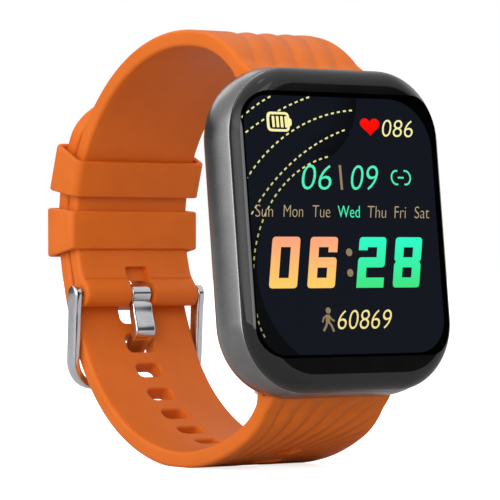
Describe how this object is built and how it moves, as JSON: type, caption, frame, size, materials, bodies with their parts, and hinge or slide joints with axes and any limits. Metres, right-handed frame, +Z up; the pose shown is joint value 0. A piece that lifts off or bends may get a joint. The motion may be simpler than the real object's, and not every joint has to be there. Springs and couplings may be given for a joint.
{
  "type": "fitness watch",
  "caption": "Rectangular fitness watch with a gunmetal case and curved black glass, on a buckled silicone strap with holes, two keepers and a pin buckle.",
  "frame": {"origin": "middle of the bounding box's bottom, where the strap stands on a surface", "axes": "-Y towards the glass, +Z up, X across the watch; the face leans back 6.6 degrees"},
  "size_m": [0.0382, 0.0646, 0.0646],
  "materials": {
    "case_metal": "bead-blasted satin",
    "cover_glass": "black glass, polished",
    "black_rubber": "matt",
    "display": "black",
    "inner_plastic": "matt",
    "circuit_board": "solder mask",
    "battery_foil": "satin foil",
    "bright_steel": "satin",
    "spring_steel": "drawn wire",
    "antenna_ceramic": "unglazed",
    "led_green": "clear",
    "back_plastic": "fine matt",
    "sensor_glass": "polished",
    "pin_gold": "gold plated",
    "strap_silicone": "satin silicone",
    "buckle_steel": "polished"
  },
  "bodies": {
    "watch": {"case_body": "case_metal", "cover_glass": "cover_glass", "glass_gasket": "black_rubber", "display_panel": "display", "display_frame": "inner_plastic", "main_board": "circuit_board", "battery": "battery_foil", "vibration_motor": "bright_steel", "gps_antenna": "antenna_ceramic", "button_switch": "inner_plastic", "sensor_board": "circuit_board", "sensor_leds": "led_green", "back_cover": "back_plastic", "back_gasket": "black_rubber", "sensor_window": "sensor_glass", "charging_pins": "pin_gold", "case_screws": "bright_steel", "button_seal": "black_rubber", "upper_strap": "strap_silicone", "lower_strap": "strap_silicone", "fixed_keeper": "strap_silicone", "upper_bar_tube": "bright_steel", "upper_bar_spring": "spring_steel", "lower_bar_tube": "bright_steel", "lower_bar_spring": "spring_steel", "buckle_bar_tube": "bright_steel", "buckle_bar_spring": "spring_steel"},
    "side_button": {"side_button": "case_metal", "button_clip": "spring_steel"},
    "loose_keeper": {"loose_keeper": "strap_silicone"},
    "upper_release": {"upper_bar_tip": "bright_steel"},
    "lower_release": {"lower_bar_tip": "bright_steel"},
    "buckle": {"buckle_frame": "buckle_steel"},
    "tongue": {"buckle_tongue": "buckle_steel"},
    "pin_left": {"buckle_pin_left": "bright_steel"},
    "pin_right": {"buckle_pin_right": "bright_steel"}
  },
  "joints": [
    {"name": "side_button_press", "type": "slide", "parent": "watch", "child": "side_button", "axis": [-1, 0, 0], "range_m": [0, 0.00035], "stiffness_N_per_m": 1500, "springref_m": -0.0004},
    {"name": "upper_bar_release", "type": "slide", "parent": "watch", "child": "upper_release", "axis": [-1, 0, 0], "range_m": [0, 0.0012], "stiffness_N_per_m": 400, "springref_m": -0.001, "deforming": ["upper_bar_spring"]},
    {"name": "lower_bar_release", "type": "slide", "parent": "watch", "child": "lower_release", "axis": [-1, 0, 0], "range_m": [0, 0.0012], "stiffness_N_per_m": 400, "springref_m": -0.001, "deforming": ["lower_bar_spring"]},
    {"name": "buckle_pin_left_push", "type": "slide", "parent": "watch", "child": "pin_left", "axis": [1, 0, 0], "range_m": [0, 0.0011], "stiffness_N_per_m": 400, "springref_m": -0.001, "deforming": ["buckle_bar_spring"]},
    {"name": "buckle_pin_right_push", "type": "slide", "parent": "watch", "child": "pin_right", "axis": [-1, 0, 0], "range_m": [0, 0.0011], "stiffness_N_per_m": 400, "springref_m": -0.001, "deforming": ["buckle_bar_spring"]},
    {"name": "buckle_swing", "type": "hinge", "parent": "watch", "child": "buckle", "pos_m": [0, 0.02437, 0.02529], "axis": [1, 0, 0], "range_deg": [0, 1.8]},
    {"name": "tongue_swing", "type": "hinge", "parent": "watch", "child": "tongue", "pos_m": [0, 0.02437, 0.02529], "axis": [1, 0, 0], "range_deg": [0, 2.4]},
    {"name": "loose_keeper_slide", "type": "hinge", "parent": "watch", "child": "loose_keeper", "pos_m": [0, 0.00263, 0.03637], "axis": [1, 0, 0], "range_deg": [-4.5, 11]}
  ]
}
